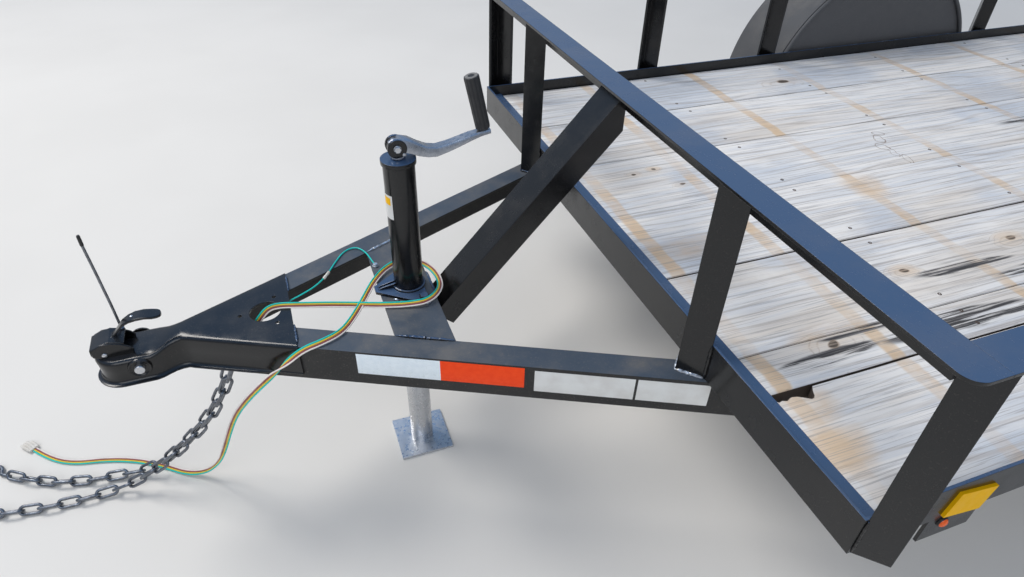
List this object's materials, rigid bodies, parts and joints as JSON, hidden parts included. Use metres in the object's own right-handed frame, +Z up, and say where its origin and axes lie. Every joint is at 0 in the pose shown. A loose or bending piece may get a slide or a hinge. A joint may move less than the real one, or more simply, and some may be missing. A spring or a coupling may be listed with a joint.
{
  "type": "single-axle utility trailer",
  "caption": "Open utility trailer with a wooden deck, angle-iron rails, A-frame tongue with jack and ball coupler, mudguards and a folding ramp gate.",
  "frame": {"origin": "on the ground under the middle of the trailer, standing on its wheels and jack", "axes": "+X forwards to the coupler, +Y to the left, +Z up"},
  "size_m": [3.8994, 2.0066, 1.6944],
  "materials": {
    "black_paint": "gloss black paint, dusty",
    "deck_wood": "weathered pine, bare",
    "spring_steel": "dark painted spring steel",
    "zinc": "zinc plated",
    "grip_plastic": "ribbed black plastic",
    "tyre": "matt black rubber",
    "wheel_white": "white wheel paint",
    "amber": "amber lens",
    "yellow": "yellow reflector",
    "red": "red lens",
    "chain_steel": "zinc plated chain, dulled",
    "wire": "flat four-wire cable, white, brown, yellow and green",
    "white_plastic": "white connector",
    "black_plastic": "black lamp housing"
  },
  "bodies": {
    "trailer": {"axle": "black_paint", "axle_clamps": "zinc", "board_retainer": "black_paint", "coupler_body": "black_paint", "coupler_latch": "black_paint", "cross_members": "black_paint", "deck_boards": "deck_wood", "fender_left": "black_paint", "fender_right": "black_paint", "frame_front_member": "black_paint", "frame_rear_member": "black_paint", "frame_side_rails": "black_paint", "gate_hinges": "black_paint", "ground_screw": "zinc", "ground_wire": "wire", "harness_cable": "wire", "harness_plug": "white_plastic", "jack_tube": "black_paint", "lamp_brackets": "black_paint", "leaf_springs": "spring_steel", "marker_lamps": "amber", "number_plate_holder": "black_paint", "posts_front": "black_paint", "reflectors": "yellow", "safety_chains": "chain_steel", "side_posts": "black_paint", "spring_hangers": "black_paint", "tail_lamp_bodies": "black_plastic", "tail_lamp_lenses": "red", "tongue_brace": "black_paint", "tongue_cross_plate": "black_paint", "tongue_rail_left": "black_paint", "tongue_rail_right": "black_paint", "top_rail_front": "black_paint", "top_rails_side": "black_paint"},
    "wheel_left": {"tyre_left": "tyre", "rim_left": "wheel_white", "hub_left": "zinc"},
    "wheel_right": {"tyre_right": "tyre", "rim_right": "wheel_white", "hub_right": "zinc"},
    "jack_leg": {"jack_leg": "zinc"},
    "jack_crank": {"jack_crank": "zinc", "jack_grip": "grip_plastic"},
    "ramp_gate": {"gate_frame": "black_paint", "gate_mesh": "black_paint"}
  },
  "joints": [
    {"name": "wheel_left_spin", "type": "hinge", "parent": "trailer", "child": "wheel_left", "pos_m": [-0.91563, 0.889, 0.343], "axis": [0, 1, 0], "continuous": true},
    {"name": "wheel_right_spin", "type": "hinge", "parent": "trailer", "child": "wheel_right", "pos_m": [-0.91563, -0.889, 0.343], "axis": [0, 1, 0], "continuous": true},
    {"name": "jack_leg_slide", "type": "slide", "parent": "trailer", "child": "jack_leg", "axis": [0, 0, 1], "range_m": [0, 0.254]},
    {"name": "jack_crank_turn", "type": "hinge", "parent": "trailer", "child": "jack_crank", "pos_m": [0.96537, 0, 0.7343], "axis": [0, 0, 1], "continuous": true},
    {"name": "ramp_gate_hinge", "type": "hinge", "parent": "trailer", "child": "ramp_gate", "pos_m": [-1.93703, 0, 0.4595], "axis": [0, -1, 0], "range_deg": [0, 111.6]}
  ]
}
